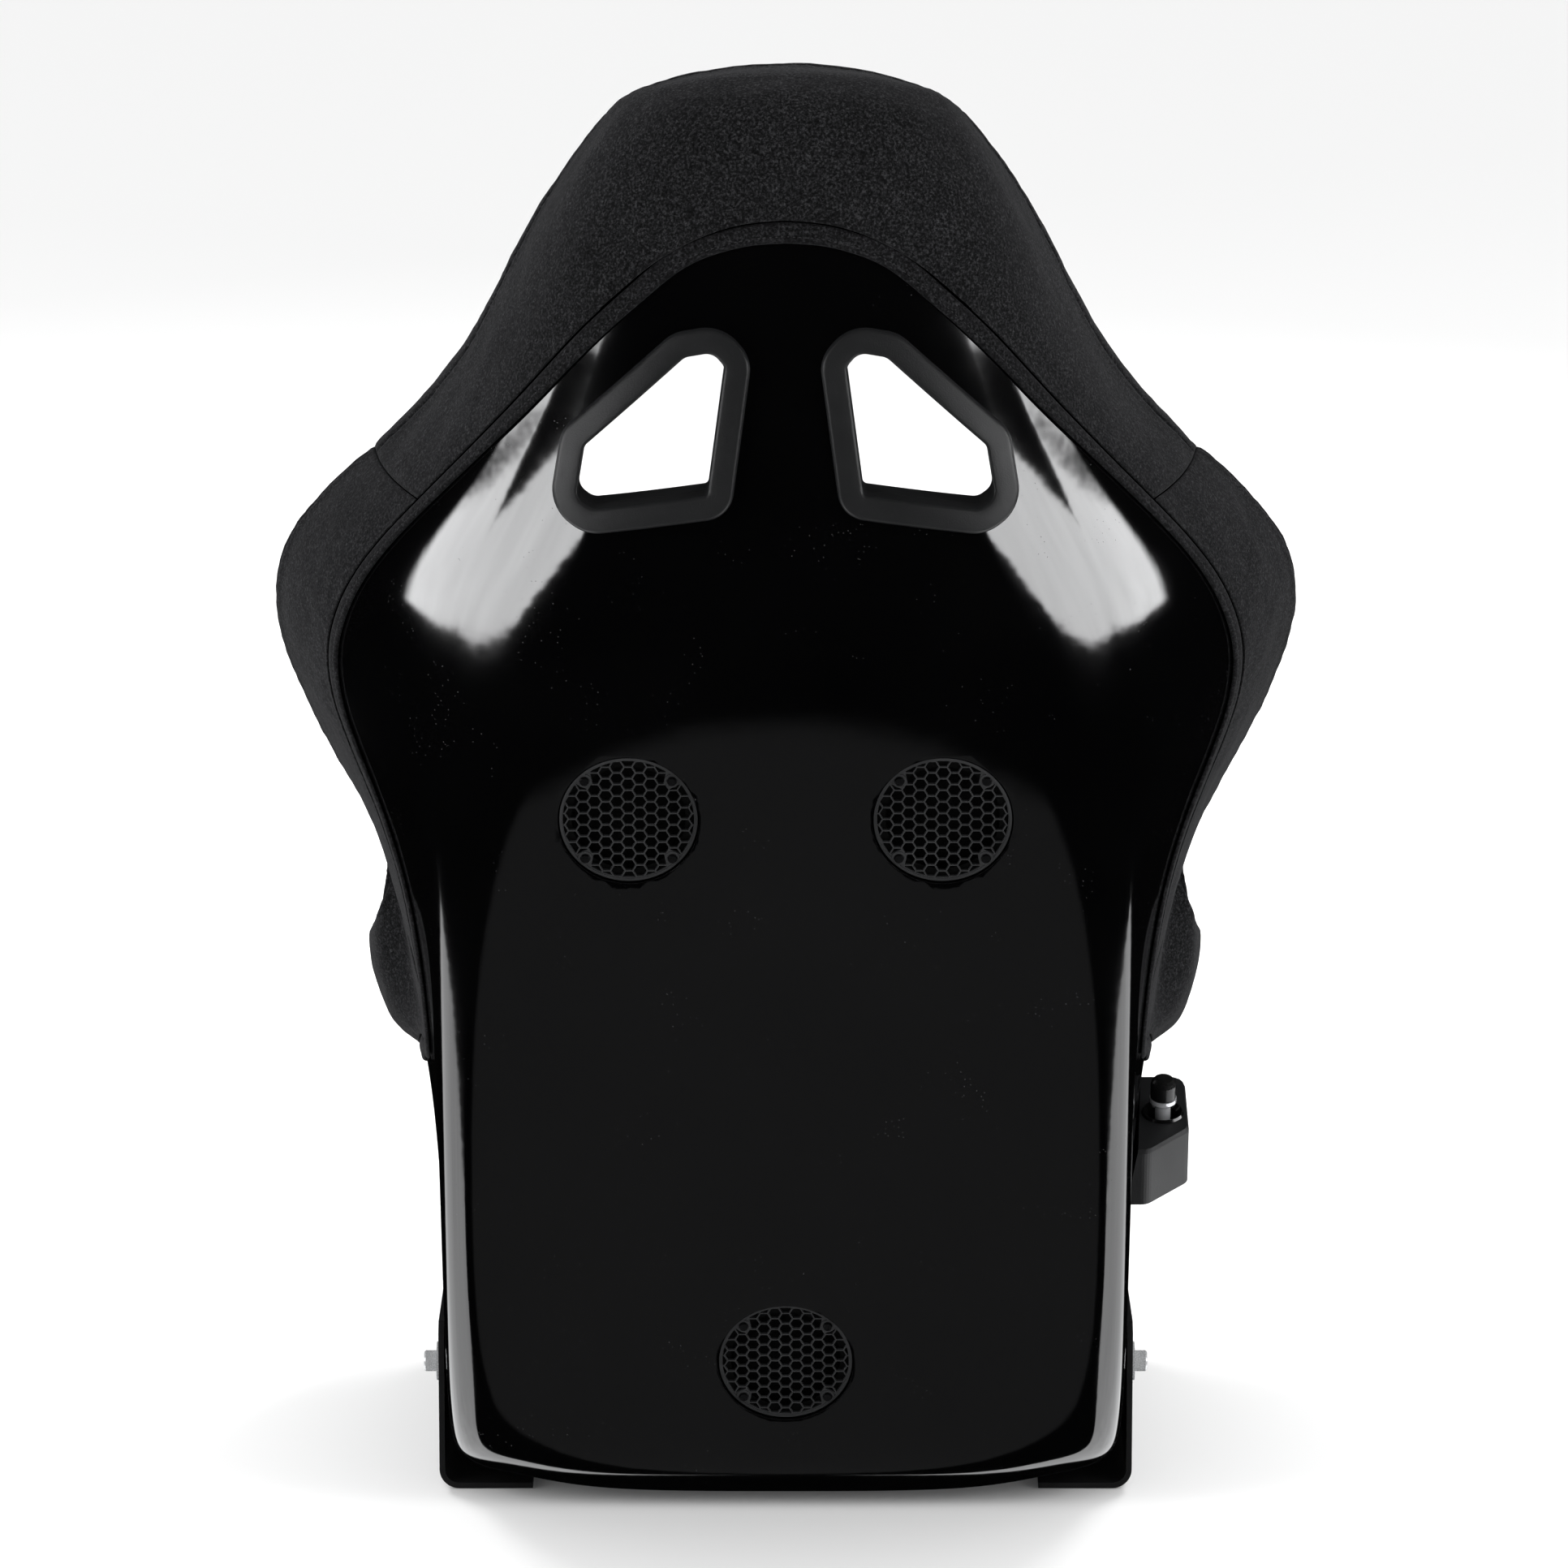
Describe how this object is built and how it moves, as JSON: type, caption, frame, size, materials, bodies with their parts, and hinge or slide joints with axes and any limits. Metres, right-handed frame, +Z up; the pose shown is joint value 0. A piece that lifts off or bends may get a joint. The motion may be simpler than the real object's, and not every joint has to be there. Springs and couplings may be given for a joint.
{
  "type": "racing seat",
  "caption": "Fixed-back racing bucket seat: gloss black moulded shell, fabric covers and pads, harness slots, round vents, side brackets and a side push adjuster.",
  "frame": {"origin": "centre of the footprint, on the plane under the bracket flanges", "axes": "+Z up, the sitter faces -Y, the back of the seat faces +Y, the sitter's left is +X"},
  "size_m": [0.6216, 0.6166, 0.901],
  "materials": {
    "gelcoat": "mirror-gloss black moulded gelcoat with fine dust",
    "cover_fabric": "short-pile black velour over foam, stitched seams",
    "pad_fabric": "short-pile black velour over foam",
    "binding_tape": "woven black edge tape, folded and stitched",
    "bezel_plastic": "fine-grained satin black moulding",
    "grille_plastic": "satin black moulding",
    "cup_plastic": "matt black moulding",
    "black_screw": "black oxide",
    "bracket_paint": "satin black powder coat",
    "zinc_steel": "bright zinc plate",
    "insert_steel": "plain steel",
    "housing_plastic": "fine-grained matt black moulding",
    "collar_plastic": "gloss black moulding",
    "chrome_stem": "bright chrome plate",
    "knob_plastic": "satin black moulding",
    "spring_steel": "plain spring wire"
  },
  "bodies": {
    "seat": {"shell": "gelcoat", "head_cover": "cover_fabric", "wing_cover_left": "cover_fabric", "wing_cover_right": "cover_fabric", "hip_cover_left": "cover_fabric", "hip_cover_right": "cover_fabric", "front_cover": "cover_fabric", "cover_binding": "binding_tape", "head_pad": "pad_fabric", "shoulder_pad": "pad_fabric", "back_pad": "pad_fabric", "lumbar_pad": "pad_fabric", "seat_base_pad": "pad_fabric", "thigh_pad": "pad_fabric", "harness_bezel_rear_left": "bezel_plastic", "harness_bezel_rear_right": "bezel_plastic", "harness_bezel_front_left": "bezel_plastic", "harness_bezel_front_right": "bezel_plastic", "vent_grille_upper_left": "grille_plastic", "vent_grille_upper_right": "grille_plastic", "vent_grille_lower": "grille_plastic", "vent_cups": "cup_plastic", "vent_screws": "black_screw", "side_bracket_left": "bracket_paint", "side_bracket_right": "bracket_paint", "bracket_bolts": "zinc_steel", "bracket_washers": "zinc_steel", "threaded_inserts": "insert_steel", "adjuster_housing": "housing_plastic", "adjuster_collar": "collar_plastic", "adjuster_spring": "spring_steel"},
    "plunger": {"adjuster_stem": "chrome_stem", "adjuster_knob": "knob_plastic"}
  },
  "joints": [
    {"name": "adjuster_push", "type": "slide", "parent": "seat", "child": "plunger", "axis": [0, -0.2924, -0.9563], "range_m": [0, 0.008], "stiffness_N_per_m": 600, "springref_m": -0.003, "deforming": ["adjuster_spring"]}
  ]
}
